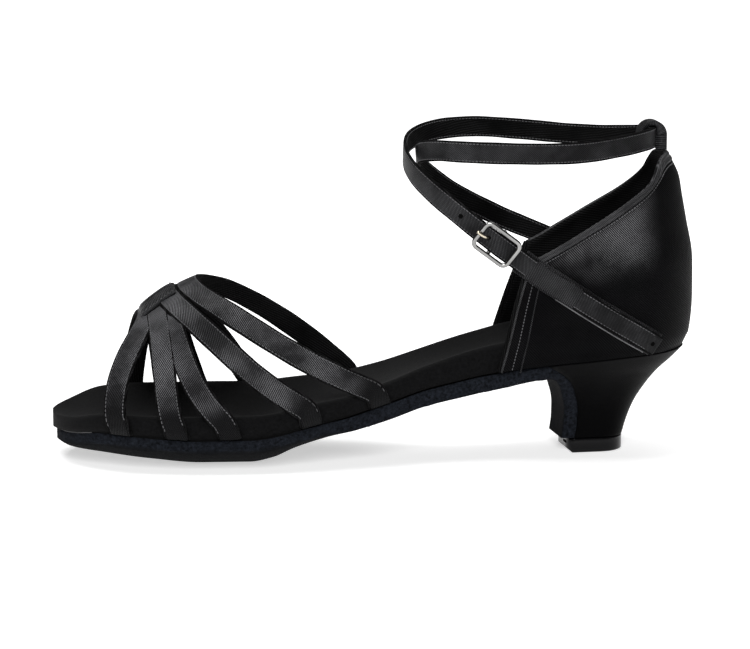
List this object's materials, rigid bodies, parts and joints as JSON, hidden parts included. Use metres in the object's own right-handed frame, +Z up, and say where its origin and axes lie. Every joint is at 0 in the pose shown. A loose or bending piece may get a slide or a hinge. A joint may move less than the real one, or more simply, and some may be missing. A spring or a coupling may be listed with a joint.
{
  "type": "dance shoe",
  "caption": "Open-toed satin ballroom sandal with crossed front straps, buckled ankle strap, closed heel counter and a low flared heel.",
  "frame": {"origin": "centre of the bounding box in plan, on the floor that the shoe stands on", "axes": "+X from toe to heel, +Y towards the inner (medial) side of this left shoe, +Z up"},
  "size_m": [0.24, 0.0816, 0.1242],
  "materials": {
    "sole_suede": "suede split leather, cut edge slightly blue-grey",
    "footbed_suede": "soft napped footbed covering",
    "heel_satin": "satin drawn over the heel block",
    "tip_plastic": "glossy",
    "strap_satin": "satin with fine ribs",
    "counter_satin": "satin twill",
    "nickel": "polished nickel plate"
  },
  "bodies": {
    "root": {"outsole": "sole_suede", "insole": "footbed_suede", "heel": "heel_satin", "heel_tip": "tip_plastic", "vamp_straps": "strap_satin", "counter": "counter_satin", "back_loop": "strap_satin", "ankle_strap": "strap_satin", "quarter_band": "strap_satin", "buckle_frame": "nickel", "buckle_prong": "nickel"}
  },
  "joints": []
}
